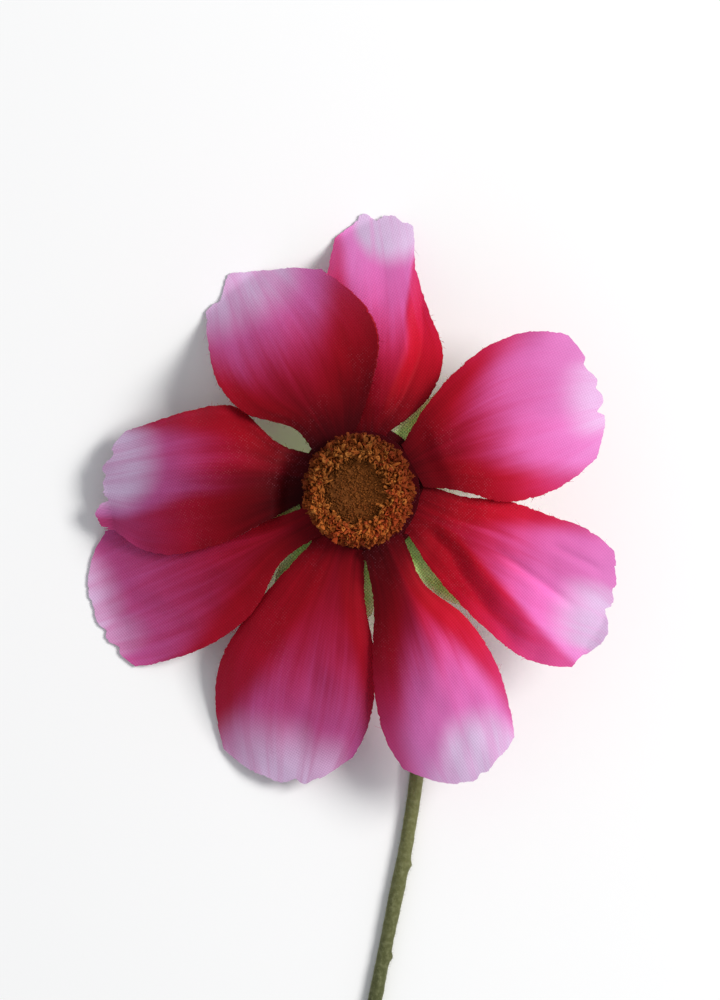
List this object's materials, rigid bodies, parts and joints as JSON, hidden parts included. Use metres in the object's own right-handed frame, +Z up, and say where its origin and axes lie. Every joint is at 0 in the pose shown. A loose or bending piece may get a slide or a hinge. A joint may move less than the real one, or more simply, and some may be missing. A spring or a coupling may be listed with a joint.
{
  "type": "cosmos flower",
  "caption": "Cut cosmos bloom of printed fabric petals round a crumbly disc, on a thin flocked stem, lying on a surface with its face up.",
  "frame": {"origin": "centre of the part's footprint box, on the surface that the flower lies on", "axes": "+Y along the stem towards the bloom, +Z up out of the bloom's face"},
  "size_m": [0.0798, 0.168, 0.024],
  "materials": {
    "stem": "short olive flocking over a plastic-coated wire",
    "sepal_fabric": "plain-woven green fabric",
    "petal_fabric": "woven fabric printed from dark crimson at the neck to pink and pale lilac at the tips",
    "disc_florets": "crumbly orange-brown granules",
    "disc_eye": "dark brown granules"
  },
  "bodies": {
    "root": {"stem": "stem", "calyx": "sepal_fabric", "petal_whorl_back": "petal_fabric", "petal_whorl_front": "petal_fabric", "disc_florets": "disc_florets", "disc_eye": "disc_eye"}
  },
  "joints": []
}
